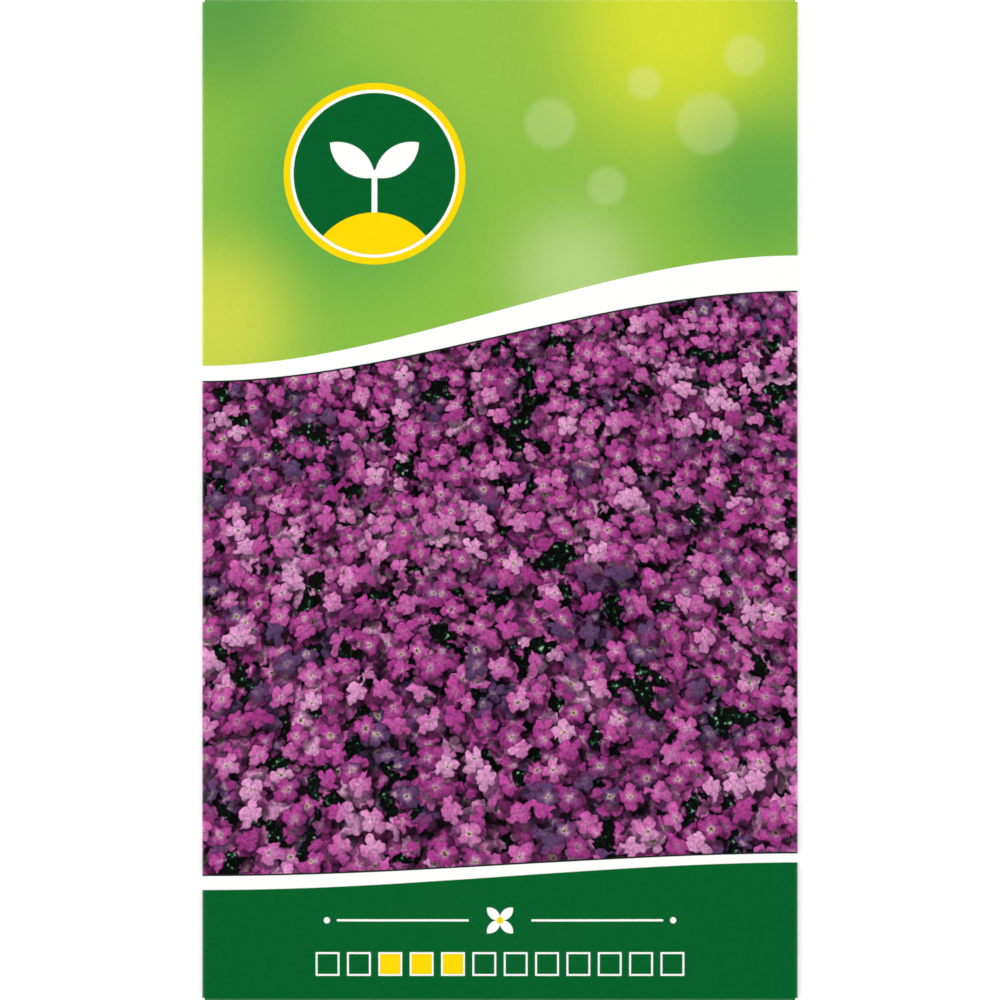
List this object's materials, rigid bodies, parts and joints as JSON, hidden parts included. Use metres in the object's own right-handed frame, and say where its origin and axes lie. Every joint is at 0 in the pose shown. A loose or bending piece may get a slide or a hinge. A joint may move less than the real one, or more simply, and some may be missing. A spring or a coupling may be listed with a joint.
{
  "type": "seed packet",
  "caption": "Flat paper seed packet lying on its back: a folded and glued bag, gently swollen over a heat-sealed foil sachet of small seeds.",
  "frame": {"origin": "middle of the packet's footprint, on the surface that it lies on", "axes": "+Z out of the printed front, +Y towards the packet's top edge, +X to the right as the front is read"},
  "size_m": [0.095, 0.16, 0.0047],
  "materials": {
    "printed_paper": "coated paper printed in colour, satin: green head, magenta flower carpet, dark green foot, pale back",
    "adhesive": "set packaging adhesive, translucent cream",
    "foil_laminate": "plain aluminium foil laminate, satin, with crimped seals",
    "seed_coat": "dry brown seed coat, matte"
  },
  "bodies": {
    "root": {"outer_bag": "printed_paper", "seam_glue": "adhesive", "bottom_flap_glue": "adhesive", "top_flap_glue": "adhesive", "sachet_back_web": "foil_laminate", "sachet_front_web": "foil_laminate", "seeds": "seed_coat"}
  },
  "joints": []
}
